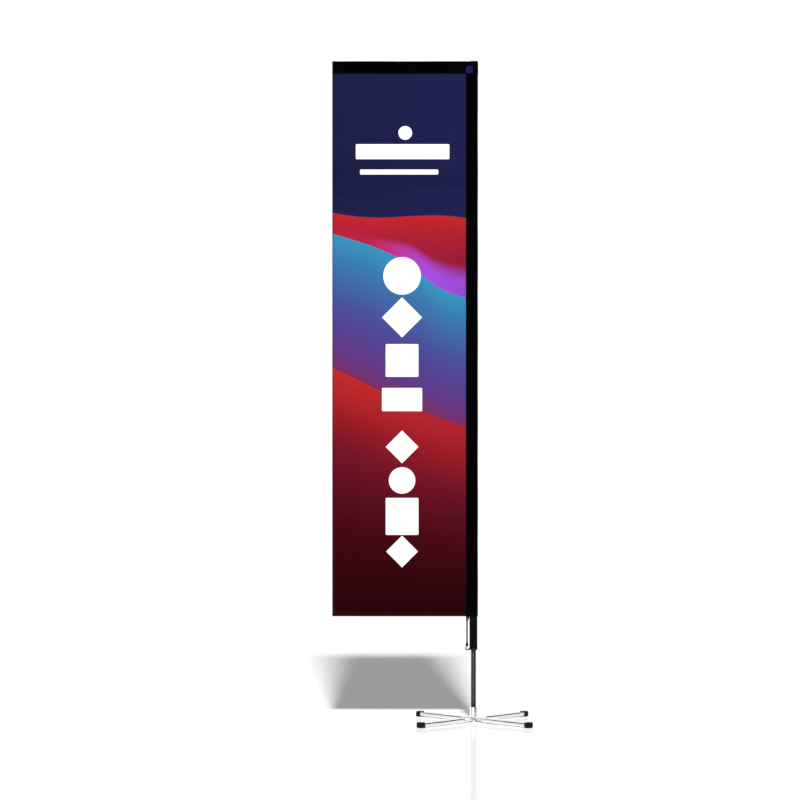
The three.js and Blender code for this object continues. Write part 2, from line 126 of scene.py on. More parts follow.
def apply_modifiers(piece):
    """Replaces the piece's mesh with what its modifiers make of it."""
    bpy.context.view_layer.update()
    graph = bpy.context.evaluated_depsgraph_get()
    mesh = bpy.data.meshes.new_from_object(piece.evaluated_get(graph))
    piece.modifiers.clear()
    piece.data = mesh
    return piece


def thicken(piece, thickness, even=True):
    """Turns an open skin into a closed sheet that grows against the skin's normals."""
    solid = piece.modifiers.new("thickness", "SOLIDIFY")
    solid.thickness = thickness
    solid.offset = -1
    solid.use_even_offset = even
    return apply_modifiers(piece)


def recalculate_normals(piece):
    shape = bmesh.new()
    shape.from_mesh(piece.data)
    bmesh.ops.recalc_face_normals(shape, faces=shape.faces)
    shape.to_mesh(piece.data)
    shape.free()


def smooth_path(points, steps):
    """A Catmull-Rom curve through the points."""
    knots = [np.array(p, float) for p in points]
    knots = [2 * knots[0] - knots[1], *knots, 2 * knots[-1] - knots[-2]]
    path = []
    for a, b, c, d in zip(knots, knots[1:], knots[2:], knots[3:]):
        slope = c - a
        bend = 2 * a - 5 * b + 4 * c - d
        change = 3 * b - a - 3 * c + d
        for step in range(steps):
            t = step / steps
            path.append(0.5 * (2 * b + slope * t + bend * t**2 + change * t**3))
    path.append(knots[-2])
    return np.array(path)


def tube(path, radius, sides, closed=False, relief=None):
    """Points and faces of a tube along a path. relief(turn, along) scales the radius."""
    path = np.asarray(path, float)
    count = len(path)
    ahead = np.roll(path, -1, axis=0) - path
    behind = path - np.roll(path, 1, axis=0)
    if not closed:
        ahead[-1], behind[0] = behind[-1], ahead[0]
    tangents = ahead + behind
    tangents /= np.linalg.norm(tangents, axis=1)[:, None]
    lengths = np.concatenate([[0], np.cumsum(np.linalg.norm(np.diff(path, axis=0), axis=1))])
    normal = np.cross(tangents[0], [0.37, 0.91, 0.17])
    points = []
    turns = np.arange(sides) * 2 * math.pi / sides
    for i in range(count):
        normal = normal - tangents[i] * (normal @ tangents[i])
        normal /= np.linalg.norm(normal)
        other = np.cross(tangents[i], normal)
        scale = np.ones(sides) if relief is None else relief(turns, lengths[i])
        ring = np.cos(turns)[:, None] * normal + np.sin(turns)[:, None] * other
        points.append(path[i] + radius * scale[:, None] * ring)
    points = np.concatenate(points)
    faces = grid_faces(count, sides, wrap=True)
    faces += closing_faces(count, sides) if closed else end_caps(count, sides)
    return points, faces


def merged(parts):
    """Several (points, faces) as one."""
    points, faces, first = [], [], 0
    for some, their_faces in parts:
        points.append(some)
        faces += [tuple(first + i for i in face) for face in their_faces]
        first += len(some)
    return np.concatenate(points), faces


# ---- Node helpers


def display(red, green, blue, level=1.0):
    """A colour given as display values from 0 to 255, as a linear colour."""
    linear = [((c / 255 + 0.055) / 1.055) ** 2.4 if c > 10 else c / 255 / 12.92 for c in (red, green, blue)]
    return tuple(level * c for c in linear) + (1,)


def shades(rows):
    """Stops of the print's ramps from rows of place, red, green and blue."""
    return [(place, display(*colour, 1 / LIT)) for place, *colour in rows]


# The Mix node names its sockets alike for every data type. These are the places of its colour sockets.
MIX_FIRST, MIX_SECOND, MIX_RESULT = 6, 7, 2


class Graph:
    """Adds nodes to a tree. An input is a number, a colour or another node's output."""

    def __init__(self, tree):
        self.tree = tree

    def feed(self, socket, value):
        if isinstance(value, bpy.types.NodeSocket):
            self.tree.links.new(value, socket)
        else:
            socket.default_value = value

    def node(self, kind, inputs=None, **settings):
        node = self.tree.nodes.new("ShaderNode" + kind)
        for name, value in settings.items():
            setattr(node, name, value)
        for name, value in (inputs or {}).items():
            self.feed(node.inputs[name], value)
        return node

    def math(self, operation, *values, clamp=False):
        node = self.node("Math", operation=operation, use_clamp=clamp)
        for socket, value in zip(node.inputs, values):
            self.feed(socket, value)
        return node.outputs[0]

    def times(self, first, second):
        return self.math("MULTIPLY", first, second)

    def minus(self, first, second):
        return self.math("SUBTRACT", first, second)

    def line(self, value, slope, start, clamp=False):
        """slope * value + start"""
        return self.math("MULTIPLY_ADD", value, slope, start, clamp=clamp)

    def mix(self, factor, first, second):
        node = self.node("Mix", data_type="RGBA")
        self.feed(node.inputs["Factor"], factor)
        self.feed(node.inputs[MIX_FIRST], first)
        self.feed(node.inputs[MIX_SECOND], second)
        return node.outputs[MIX_RESULT]

    def ramp(self, factor, stops):
        node = self.node("ValToRGB", {"Fac": factor})
        elements = node.color_ramp.elements
        while len(elements) < len(stops):
            elements.new(0.5)
        for element, (place, colour) in zip(elements, stops):
            element.position = place
            element.color = colour
        return node.outputs["Color"]

    def curve(self, value, points):
        node = self.node("FloatCurve", {"Value": value})
        line = node.mapping.curves[0]
        while len(line.points) < len(points):
            line.points.new(0.5, 0.5)
        for point, place in zip(line.points, points):
            point.location = place
        node.mapping.update()
        return node.outputs["Value"]

    def bump(self, height, strength, distance):
        node = self.node("Bump", {"Height": height, "Strength": strength, "Distance": distance})
        return node.outputs["Normal"]

    def noise(self, where, scale, detail):
        node = self.node("TexNoise", {"Vector": where, "Scale": scale, "Detail": detail})
        return node.outputs["Fac"]

    def place(self, kind="Object"):
        return self.node("TexCoord").outputs[kind]

    def stretched(self, where, scale):
        return self.node("Mapping", {"Vector": where, "Scale": scale}).outputs[0]


def new_material(name, **shader_values):
    """A material with its graph and its Principled shader, which takes the values given."""
    material = bpy.data.materials.new(name)
    material.use_nodes = True
    graph = Graph(material.node_tree)
    shader = material.node_tree.nodes["Principled BSDF"]
    for socket, value in shader_values.items():
        shader.inputs[socket.replace("_", " ")].default_value = value
    return material, graph, shader


def link_shader(graph, shader, colour, roughness, normal):
    graph.feed(shader.inputs["Base Color"], colour)
    graph.feed(shader.inputs["Roughness"], roughness)
    graph.feed(shader.inputs["Normal"], normal)


# ---- Materials of the hardware


def chrome():
    material, graph, shader = new_material("chrome", Metallic=1.0)
    where = graph.place()
    smudge = graph.noise(where, 38, 4)
    haze = graph.noise(where, 900, 2)
    tint = graph.ramp(smudge, [(0.3, (0.89, 0.89, 0.90, 1)), (0.7, (0.96, 0.96, 0.97, 1))])
    rough = graph.line(smudge, 0.07, 0.035)
    link_shader(graph, shader, tint, rough, graph.bump(haze, 0.05, 0.1 * MM))
    return material


def turned_metal(name, dark, light, roughness, stretch=0.0):
    """Bare, blackened or chromed steel with fine rings from the lathe, whose gloss spreads along Z."""
    material, graph, shader = new_material(name, Metallic=1.0, Anisotropic=stretch, Anisotropic_Rotation=0.25)
    around = graph.node("Tangent", direction_type="RADIAL", axis="Z")
    graph.feed(shader.inputs["Tangent"], around.outputs[0])
    where = graph.place()
    rings = graph.noise(graph.stretched(where, (30, 30, 2600)), 1, 3)
    blotch = graph.noise(where, 24, 4)
    tint = graph.ramp(blotch, [(0.35, dark), (0.7, light)])
    rough = graph.line(blotch, 0.12, roughness)
    link_shader(graph, shader, tint, rough, graph.bump(rings, 0.12, 0.1 * MM))
    return material


def painted_tube():
    material, graph, shader = new_material("black_tube", Specular_IOR_Level=0.05)
    where = graph.place()
    scuff = graph.noise(graph.stretched(where, (700, 700, 9)), 1, 4)
    speck = graph.noise(where, 2200, 2)
    tint = graph.ramp(scuff, [(0.4, display(2, 2, 2)), (0.75, display(5, 5, 6))])
    rough = graph.line(scuff, 0.2, 0.3)
    link_shader(graph, shader, tint, rough, graph.bump(speck, 0.15, 0.05 * MM))
    return material


def moulded(name, dark, light, roughness, grain=900, strength=0.25):
    """Moulded plastic or rubber with a fine grain."""
    material, graph, shader = new_material(name, Specular_IOR_Level=0.14)
    where = graph.place()
    patch = graph.noise(where, 60, 3)
    fine = graph.noise(where, grain, 2)
    tint = graph.ramp(patch, [(0.35, dark), (0.7, light)])
    rough = graph.line(fine, 0.15, roughness)
    link_shader(graph, shader, tint, rough, graph.bump(fine, strength, 0.15 * MM))
    return material


# ---- Materials of the cloth

WEAVE_PITCH = 1.1 * MM
LIT = 1.55  # how much brighter than its own colour a white cloth facing the key light renders


def weave_height(graph, across, along):
    """A plain weave from two lengths in metres: threads that go over and under each other."""
    turns = math.pi / WEAVE_PITCH
    warp = graph.math("SINE", graph.times(across, turns))
    weft = graph.math("SINE", graph.times(along, turns))
    return graph.times(warp, weft)


def plain_cloth(name, dark, light, sheen=0.004):
    """Woven cloth in one colour. The weave follows the piece's UV map, in metres."""
    material, graph, shader = new_material(
        name, Specular_IOR_Level=0.01, Sheen_Weight=sheen, Sheen_Roughness=0.5
    )
    sides = graph.node("SeparateXYZ", {"Vector": graph.place("UV")})
    weave = weave_height(graph, sides.outputs["X"], sides.outputs["Y"])
    fade = graph.noise(graph.place(), 9, 5)
    tint = graph.ramp(fade, [(0.35, dark), (0.7, light)])
    rough = graph.line(fade, 0.1, 0.82)
    link_shader(graph, shader, tint, rough, graph.bump(weave, 0.35, 0.12 * MM))
    return material


# The heights of the print's three curves, as shares of the panel, from its free edge to the pole.
NAVY_EDGE = [(0, 0.744), (0.11, 0.739), (0.33, 0.735), (0.64, 0.738), (0.79, 0.739), (1, 0.734)]
RED_EDGE = [(0, 0.705), (0.15, 0.694), (0.35, 0.677), (0.59, 0.647)]
RED_EDGE += [(0.76, 0.611), (0.87, 0.597), (1, 0.587)]
BLUE_EDGE = [(0, 0.458), (0.19, 0.436), (0.46, 0.402), (0.67, 0.378), (1, 0.348)]

WHITE_MARKS = [
    # kind, centre from the free edge and from the foot, half width, half height, all in mm
    ("disc", 276, 1829, 26, 26),
    ("bar", 266, 1758, 177, 28.5),
    ("bar", 253, 1681, 148, 9.5),
    ("disc", 264, 1288, 71, 71),
    ("diamond", 264, 1131, 76, 76),
    ("bar", 264, 968, 62, 62),
    ("bar", 264, 820, 76, 44),
    ("diamond", 264, 641, 62, 62),
    ("disc", 264, 514, 50, 50),
    ("bar", 264, 378, 62, 70),
    ("diamond", 264, 245, 60, 60),
]
MARK_ROUNDING = 7  # mm at the corners of a bar


def print_masks(graph, high, edges):
    """For each edge, 1 above it and 0 below it, with a soft line between."""
    sharpness = PANEL_TALL / (2 * MM)
    return [graph.line(graph.minus(high, edge), sharpness, 0.5, clamp=True) for edge in edges]


def share_between(graph, high, top, foot):
    """0 at the top edge and 1 at the foot edge."""
    down = graph.minus(top, high)
    return graph.math("DIVIDE", down, graph.minus(top, foot), clamp=True)


def navy_field(graph, across, high):
    base = graph.ramp(across, shades([(0, 28, 30, 70), (1, 31, 32, 81)]))
    deep = graph.ramp(across, shades([(0, 24, 28, 66), (1, 27, 30, 74)]))
    swell = graph.math("SINE", graph.line(across, 5.2, 0.6))
    crest = graph.line(swell, 0.012, 0.835)
    trough = graph.line(swell, -0.010, 0.782)
    above, below = print_masks(graph, high, [crest, trough])
    between = graph.minus(below, above)
    return graph.mix(graph.times(between, 0.8), base, deep)


def red_field(graph, across, down):
    top = (0, 197, 39, 44)
    at_free_edge = [top, (0.5, 192, 33, 58), (1, 184, 34, 68)]
    at_pole = [top, (0.16, 181, 33, 44), (0.5, 152, 26, 52), (1, 146, 25, 52)]
    left, right = (graph.ramp(down, shades(rows)) for rows in (at_free_edge, at_pole))
    return graph.mix(across, left, right)


def glow_field(graph, across, high, foot, red):
    """A magenta to purple glow that widens along the red band's lower edge."""
    tints = [(0.30, 199, 50, 120), (0.48, 199, 58, 160), (0.72, 165, 78, 226), (1, 152, 76, 214)]
    tint = graph.ramp(across, shades(tints))
    reach = graph.curve(across, [(0, 0.012), (0.35, 0.022), (0.6, 0.04), (1, 0.058)])
    rise = graph.math("DIVIDE", graph.minus(high, foot), reach)
    fall = graph.line(rise, -1.9, 1.95, clamp=True)
    soft = graph.math("SMOOTH_MIN", fall, 1, 0.4, clamp=True)
    shown = graph.curve(across, [(0, 0), (0.18, 0.1), (0.42, 0.72), (0.62, 1), (1, 1)])
    return graph.mix(graph.times(soft, shown), red, tint)


def blue_field(graph, down):
    tints = [(0, 54, 150, 188), (0.17, 57, 125, 176), (0.34, 65, 102, 165), (0.5, 73, 81, 154)]
    tints += [(0.67, 85, 66, 146), (0.86, 98, 56, 132), (1, 122, 45, 96)]
    return graph.ramp(down, shades(tints))


def dusk_field(graph, across, down):
    below = [(0.22, 142, 24, 35), (0.32, 116, 19, 36), (0.42, 100, 14, 32), (0.52, 84, 11, 24)]
    below += [(0.61, 72, 6, 18), (0.71, 61, 3, 12), (0.81, 51, 2, 9), (1, 38, 1, 6)]
    at_free_edge = [(0, 198, 43, 42), (0.13, 171, 32, 39), *below]
    at_pole = [(0, 178, 34, 44), (0.1, 162, 30, 44), *below]
    left, right = (graph.ramp(down, shades(rows)) for rows in (at_free_edge, at_pole))
    return graph.mix(across, left, right)


def mark_depth(graph, kind, aside, up, half_wide, half_tall):
    """How far inside a mark's outline a place is, in mm. It is below 0 outside."""
    if kind == "disc":
        squares = [graph.times(part, part) for part in (aside, up)]
        return graph.minus(half_wide, graph.math("SQRT", graph.math("ADD", *squares)))
    if kind == "diamond":
        within = graph.minus(half_wide, graph.math("ADD", aside, up))
        return graph.times(within, 0.7)  # about the cosine of 45 degrees
    within = [graph.minus(half_wide, aside), graph.minus(half_tall, up)]
    return graph.math("SMOOTH_MIN", *within, MARK_ROUNDING)


def mark_mask(graph, x_mm, z_mm):
    """1 on the white marks and 0 beside them."""
    shown = None
    for kind, x, z, half_wide, half_tall in WHITE_MARKS:
        aside = graph.math("ABSOLUTE", graph.minus(x_mm, x))
        up = graph.math("ABSOLUTE", graph.minus(z_mm, z))
        depth = mark_depth(graph, kind, aside, up, half_wide, half_tall)
        here = graph.math("ADD", depth, 0.5, clamp=True)
        shown = here if shown is None else graph.math("MAXIMUM", shown, here)
    return shown


WHITE_INK = (0.78, 0.78, 0.78, 1)
# The colour of a painted shade along the print's free edge.
HEM_SHADE = (0.004, 0.004, 0.008, 1)
BARE_CLOTH = (0.62, 0.62, 0.64, 1)


def printed_cloth(name, show_through):
    """The printed polyester. The UV map holds shares of the panel; show_through pales the back."""
    material, graph, shader = new_material(
        name, Specular_IOR_Level=0.02, Sheen_Weight=0.002, Sheen_Roughness=0.5
    )
    sides = graph.node("SeparateXYZ", {"Vector": graph.place("UV")})
    across, high = sides.outputs["X"], sides.outputs["Y"]
    edges = [graph.curve(across, points) for points in (NAVY_EDGE, RED_EDGE, BLUE_EDGE)]
    navy_mask, red_mask, blue_mask = print_masks(graph, high, edges)
    navy = navy_field(graph, across, high)
    red = red_field(graph, across, share_between(graph, high, edges[0], edges[1]))
    red = glow_field(graph, across, high, edges[1], red)
    blue = blue_field(graph, share_between(graph, high, edges[1], edges[2]))
    dusk = dusk_field(graph, across, share_between(graph, high, edges[2], 0.0))
    colour = graph.mix(blue_mask, dusk, blue)
    colour = graph.mix(red_mask, colour, red)
    colour = graph.mix(navy_mask, colour, navy)
    x_mm = graph.times(across, PANEL_WIDE / MM)
    z_mm = graph.times(high, PANEL_TALL / MM)
    colour = graph.mix(mark_mask(graph, x_mm, z_mm), colour, WHITE_INK)
    # Painted shade: the print darkens over the last 4 mm to the free edge, where the hem folds round.
    hem_shade = graph.line(x_mm, -0.32, 1.25, clamp=True)
    colour = graph.mix(graph.times(hem_shade, 0.75), colour, HEM_SHADE)
    if show_through:
        colour = graph.mix(show_through, colour, BARE_CLOTH)
    weave = weave_height(graph, *(graph.times(length, MM) for length in (x_mm, z_mm)))
    # Painted shade: the print is up to 6 % darker where the weave dips.
    thread = graph.line(weave, 0.03, 0.97)
    shaded = graph.node("VectorMath", {0: colour, "Scale": thread}, operation="SCALE").outputs[0]
    rough = graph.line(weave, 0.04, 0.74)
    link_shader(graph, shader, shaded, rough, graph.bump(weave, 0.18, 0.1 * MM))
    return material


def twisted_yarn():
    material, graph, shader = new_material("cord", Specular_IOR_Level=0.15, Sheen_Weight=0.2)
    where = graph.place()
    fibre = graph.noise(graph.stretched(where, (5200, 5200, 1400)), 1, 3)
    tint = graph.ramp(fibre, [(0.3, display(34, 34, 36)), (0.7, display(56, 56, 59))])
    rough = graph.line(fibre, 0.2, 0.65)
    link_shader(graph, shader, tint, rough, graph.bump(fibre, 0.4, 0.1 * MM))
    return material


DEEPEST_BLACK, DEEP_BLACK = (0.0002, 0.0002, 0.0002, 1), (0.0006, 0.0006, 0.0007, 1)

LOOKS = {
    "chrome": chrome(),
    "steel": turned_metal("steel", display(150, 151, 155), display(188, 189, 192), 0.2),
    "dark_steel": turned_metal("dark_steel", display(48, 47, 49), display(72, 71, 73), 0.3, 0.9),
    "ball_cage": turned_metal("ball_cage", display(170, 130, 60), display(205, 165, 90), 0.25),
    "black_tube": painted_tube(),
    "black_plastic": moulded("black_plastic", display(4, 4, 4), display(9, 9, 10), 0.42),
    "nylon": moulded("nylon", display(205, 200, 188), display(224, 220, 210), 0.4, 500, 0.15),
    "rubber": moulded("rubber", display(5, 5, 5), display(14, 14, 13), 0.66, 1500, 0.4),
    "black_cloth": plain_cloth("black_cloth", DEEPEST_BLACK, DEEP_BLACK, 0.0015),
    "navy_cloth": plain_cloth("navy_cloth", display(23, 22, 56), display(29, 27, 72)),
    "printed_cloth": printed_cloth("printed_cloth", 0.0),
    "cord": twisted_yarn(),
}
BACK_OF_PRINT = printed_cloth("printed_cloth_back", 0.06)
TURNED_CHROME = turned_metal("turned_chrome", (0.86, 0.86, 0.87, 1), (0.95, 0.95, 0.96, 1), 0.24, 0.9)
THREAD = moulded("thread", display(20, 20, 24), display(34, 34, 40), 0.6, 1800, 0.3)
NAVY_THREAD = moulded("navy_thread", display(44, 42, 104), display(60, 58, 130), 0.6, 1800, 0.3)


# ---- Carried-over CAD nodes


# The bevels' width, segments and least angle in degrees: moulded shoes are rounder than other hardware.
SHOE_BEVEL = (0.85 * MM, 3, 12)
OTHER_BEVEL = (0.35 * MM, 2, 38)
SHARP_EDGE = 34  # degrees from which an edge is shaded as sharp


def dress_node(node):
    """Gives a CAD node its finish, and rounds its edges by modifiers alone."""
    slot = node.material_slots[0]
    name = slot.material.name.split(".")[0]
    slot.material = TURNED_CHROME if node.name == "hub" else LOOKS[name]
    node.data.shade_smooth()
    weld = node.modifiers.new("weld", "WELD")
    weld.merge_threshold = 0.01 * MM
    bevel = node.modifiers.new("bevel", "BEVEL")
    bevel.width, bevel.segments, least_angle = SHOE_BEVEL if node.name.startswith("shoe_") else OTHER_BEVEL
    bevel.limit_method = "ANGLE"
    bevel.angle_limit = math.radians(least_angle)
    split = node.modifiers.new("split", "EDGE_SPLIT")
    split.split_angle = math.radians(SHARP_EDGE)


for cad_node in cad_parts.values():
    dress_node(cad_node)


# ---- Shape of the cloth


def ease(value):
    value = np.clip(value, 0, 1)
    return value * value * (3 - 2 * value)


def gathers(along, pitch, sway, rate, from_edge, fade):
    """Small folds square to an edge. They wander along it and fade away from it."""
    return np.sin(2 * math.pi * along / pitch + sway * np.sin(along * rate)) * np.exp(-from_edge / fade)


def billow(x, z):
    """How far the printed panel stands out of its plane at points x, z: slack in the free corner,
    and small gathers beside the seams and hems."""
    from_seam = SEAM_X - x
    from_free = x - FLAG_LEFT
    from_head = SEAM_Z - z
    from_foot = z - FLAG_FOOT
    slack = np.clip(from_seam / PANEL_WIDE, 0, 1) * np.clip(from_head / PANEL_TALL, 0, 1)
    diagonal = 0.55 * from_seam + 0.33 * from_head
    broad = np.sin(2 * math.pi * diagonal / 0.47 + 0.8) + 0.5 * np.sin(2 * math.pi * z / 0.71 + 9 * x)
    at_seams = gathers(z, 0.083, 3, 9.1, from_seam, 0.045) + gathers(x, 0.066, 2, 17, from_head, 0.04)
    at_hems = gathers(z, 0.059, 2, 7.3, from_free, 0.03) + gathers(x, 0.052, 2, 13, from_foot, 0.03)
    held = ease(from_seam / (25 * MM)) * ease(from_head / (25 * MM))
    return held * (4.2 * MM * slack * broad + 0.7 * MM * at_seams + 0.5 * MM * at_hems)


def half_thickness(x, z):
    """Half the panel's thickness: one layer, or the folded hem at the free edge and the foot."""
    from_edge = np.minimum(x - FLAG_LEFT, z - FLAG_FOOT)
    hem = 1 - ease((from_edge - HEM) / (1.2 * MM))
    rounding = np.sqrt(np.clip(1 - (1 - np.clip(from_edge / (0.7 * MM), 0, 1)) ** 2, 0.02, 1))
    return 0.5 * rounding * (PANEL_CLOTH + (HEM_CLOTH - PANEL_CLOTH) * hem)


def spaced(start, end, count, close):
    """Places from start to end, with close places given first for the hem."""
    return np.concatenate([start + np.array(close), np.linspace(start + close[-1], end, count)[1:]])


def flag_panel():
    hem_steps = [0, 0.15 * MM, 0.7 * MM, 5 * MM, 9 * MM]
    hem_steps += [HEM + step * MM for step in (-0.6, 0, 0.6, 1.4)]
    xs = spaced(FLAG_LEFT, SEAM_X + SEAM_LAP, 84, hem_steps)
    zs = spaced(FLAG_FOOT, SEAM_Z + SEAM_LAP, 330, hem_steps)
    x, z = np.meshgrid(xs, zs)
    middle, half = billow(x, z), half_thickness(x, z)
    rows, columns = x.shape
    front = np.stack([x, middle - half, z], axis=-1).reshape(-1, 3)
    back = np.stack([x, middle + half, z], axis=-1).reshape(-1, 3)
    faces = grid_faces(rows, columns)
    count = rows * columns
    behind = [tuple(count + i for i in reversed(face)) for face in faces]
    rim = [row * columns for row in range(rows)]
    foot, head = list(range(columns)), list(range(count - columns, count))
    far = [row * columns + columns - 1 for row in range(rows)]
    loop = foot + far[1:] + head[-2::-1] + rim[-2:0:-1]
    edges = [(b, a, a + count, b + count) for a, b in zip(loop, loop[1:] + loop[:1])]
    points = np.concatenate([front, back])
    both_prints = [LOOKS["printed_cloth"], BACK_OF_PRINT]
    piece = add_mesh("flag_panel_cloth", points, faces + behind + edges, both_prints)
    for polygon in piece.data.polygons[len(faces) : 2 * len(faces)]:
        polygon.material_index = 1
    set_uv(piece, (points[:, 0] - FLAG_LEFT) / PANEL_WIDE, (points[:, 2] - FLAG_FOOT) / PANEL_TALL)
    return piece


def set_uv(piece, u, v):
    """Gives each vertex's u and v to the corners that use it."""
    layer = piece.data.uv_layers.new(name="UVMap")
    corner = np.zeros(len(piece.data.loops), np.int32)
    piece.data.loops.foreach_get("vertex_index", corner)
    layer.data.foreach_set("uv", np.stack([u[corner], v[corner]], axis=-1).astype(np.float32).ravel())


def touch_turn(radius, tip, tip_half):
    """The turn from the tip's direction at which a teardrop's straight side meets its arc."""
    return math.atan2(tip_half, tip) + math.acos(radius / math.hypot(tip, tip_half))


def teardrop(radius, tip, tip_half):
    """The section of a sleeve as an open line: a sewn tip at +a, round the tube, and back to the tip."""
    side_steps, arc_steps = 9, 44
    turn = touch_turn(radius, tip, tip_half)
    end = np.array([tip, tip_half])
    touch = radius * np.array([math.cos(turn), math.sin(turn)])
    side = [end + (touch - end) * i / side_steps for i in range(side_steps)]
    turns = np.linspace(turn, 2 * math.pi - turn, arc_steps)
    arc = np.stack([radius * np.cos(turns), radius * np.sin(turns)], axis=-1)
    mirrored = [np.array([a, -b]) for a, b in reversed(side)]
    return np.array(side + list(arc) + mirrored)


def outward(section):
    """Unit normals of an open line that goes round its middle anticlockwise."""
    along = np.gradient(section, axis=0)
    normals = np.stack([along[:, 1], -along[:, 0]], axis=-1)
    return normals / np.linalg.norm(normals, axis=1)[:, None]


def section_lengths(section):
    steps = np.linalg.norm(np.diff(section, axis=0), axis=1)
    return np.concatenate([[0], np.cumsum(steps)])


def sleeve_ripple(section, s, amount):
    """Gathers beside the seam and a slow waviness round the sleeve, in metres along the normals."""
    around = section_lengths(section)
    near_seam = np.exp(-np.minimum(around, around[-1] - around) / 0.012)
    held = ease(np.minimum(around, around[-1] - around) / (5 * MM))
    small = np.sin(2 * math.pi * s / 0.041 + 2.4 * math.sin(s * 11)) * near_seam * held
    slow = np.sin(2 * math.pi * s / 0.31 + around * 60) * np.sin(around / around[-1] * math.pi)
    return amount * (0.8 * small + 0.6 * slow)


def sleeve(name, section, stations, place, amount, hem_at):
    """A sleeve lofted along stations. place(a, b, s) gives the points of one section."""
    normals = outward(section)
    rows = []
    for s in stations:
        hem = 0.35 * MM * (1 - ease((abs(s - hem_at) - 9 * MM) / (1 * MM)))
        shifted = section + normals * (sleeve_ripple(section, s, amount) + hem)[:, None]
        rows.append(place(shifted[:, 0], shifted[:, 1], s))
    points = np.concatenate(rows)
    piece = add_mesh(name, points, grid_faces(len(stations), len(section)), [LOOKS["black_cloth"]])
    around = np.tile(section_lengths(section), len(stations))
    set_uv(piece, around, np.repeat(stations, len(section)))
    return piece


def upright(a, b, s):
    """A section round the pole: its tip points along -X."""
    return np.stack([-a, -b, np.full_like(a, s)], axis=-1)


def level(a, b, s):
    """A section round the top arm: its tip points down."""
    return np.stack([np.full_like(a, s), b, ARM_Z - a], axis=-1)


def stations_from_hem(start, end, step):
    """Even steps from the hemmed start to the end, with more of them where the hem's fold ends."""
    places = [*np.arange(start, end, step), end]
    places += [start + d * MM for d in (8.5, 9, 9.8, 10.5)]
    return np.array(sorted({round(p, 6) for p in places}))


def pole_sleeve():
    section = teardrop(SLEEVE_R, -SEAM_X, SEAM_HALF)
    stations = stations_from_hem(FLAG_FOOT, SEAM_Z, 9 * MM)
    piece = sleeve("pole_sleeve_cloth", section, stations, upright, 0.45 * MM, FLAG_FOOT)
    return thicken(piece, CLOTH)


def top_sleeve():
    section = teardrop(ARM_SLEEVE_R, ARM_Z - SEAM_Z, SEAM_HALF)
    end = -12 * MM
    stations = stations_from_hem(FLAG_LEFT, end, 7 * MM)
    piece = sleeve("top_sleeve_cloth", section, stations, level, 0.35 * MM, FLAG_LEFT)
    return thicken(piece, CLOTH)


def pocket_section():
    return teardrop(SLEEVE_R + POCKET_LIFT, -SEAM_X, SEAM_HALF + POCKET_LIFT)


def corner_pocket():
    """The pocket over the pole's head: the sleeve's section, closed by a rounded top."""
    section = pocket_section()
    rounding = 4 * MM
    foot, head = SEAM_Z - POCKET_LAP, FLAG_HEAD
    normals = outward(section)
    rows, heights = [], []
    for s in np.arange(foot, head - rounding, 4 * MM):
        rows.append(section + normals * sleeve_ripple(section, s, 0.25 * MM)[:, None] * 0.6)
        heights.append(s)
    for turn in np.linspace(0, math.pi / 2, 6):
        rows.append(section - normals * rounding * (1 - math.cos(turn)))
        heights.append(head - rounding * (1 - math.sin(turn)))
    spine = np.stack([np.clip(rows[-1][:, 0], 0, None), np.zeros(len(section))], axis=-1)
    rounded = rows[-1]
    for share in (0.25, 0.5, 0.75, 0.97):
        rows.append(rounded * (1 - share) + spine * share)
        heights.append(head + 0.3 * MM * share)
    placed = [upright(row[:, 0], row[:, 1], s) for row, s in zip(rows, heights)]
    for row, points, s in zip(rows, placed, heights):
        towards_seam = ease((row[:, 0] - 13 * MM) / (6 * MM))
        near_head = ease((s - head + 13 * MM) / (9 * MM))
        points[:, 2] -= 4 * MM * towards_seam * near_head
    points = np.concatenate(placed)
    faces = grid_faces(len(rows), len(section))
    last, count = (len(rows) - 1) * len(section), len(section)
    for i in range(count // 2 - 1):
        faces.append((last + i, last + i + 1, last + count - 2 - i, last + count - 1 - i))
    piece = add_mesh("corner_pocket_cloth", points, faces, [LOOKS["black_cloth"]])
    around = np.tile(section_lengths(section), len(rows))
    set_uv(piece, around, np.repeat(np.array(heights), len(section)))
    return thicken(piece, CLOTH - 0.1 * MM, even=False)


def skin_reach(value, radius, tip, tip_half):
    """How far a teardrop's skin stands from its middle plane, at a distance value towards its tip."""
    turn = touch_turn(radius, tip, tip_half)
    touch_a, touch_b = radius * math.cos(turn), radius * math.sin(turn)
    straight = tip_half + (touch_b - tip_half) * (tip - value) / (tip - touch_a)
    arc = np.sqrt(np.clip(radius**2 - value**2, 0, None))
    return np.where(value > touch_a, straight, arc)


def corner_reach(x, z):
    """How far the corner's front skin stands from the cloth's plane, pocket and top sleeve together."""
    pocket = skin_reach(-x, SLEEVE_R + POCKET_LIFT, -SEAM_X, SEAM_HALF + POCKET_LIFT)
    run = skin_reach(ARM_Z - z, ARM_SLEEVE_R, ARM_Z - SEAM_Z, SEAM_HALF)
    blend = 1.5 * MM
    return 0.5 * (pocket + run + np.sqrt((pocket - run) ** 2 + blend**2))


PATCH_LIFT = 0.7 * MM  # from the skin below it to the patch's outer face
PATCH_FOLD = 0.35 * MM  # how much thicker the patch is where its edge is turned in
PATCH_THREAD_LIFT = 1.22 * MM  # from that skin to the patch's stitches


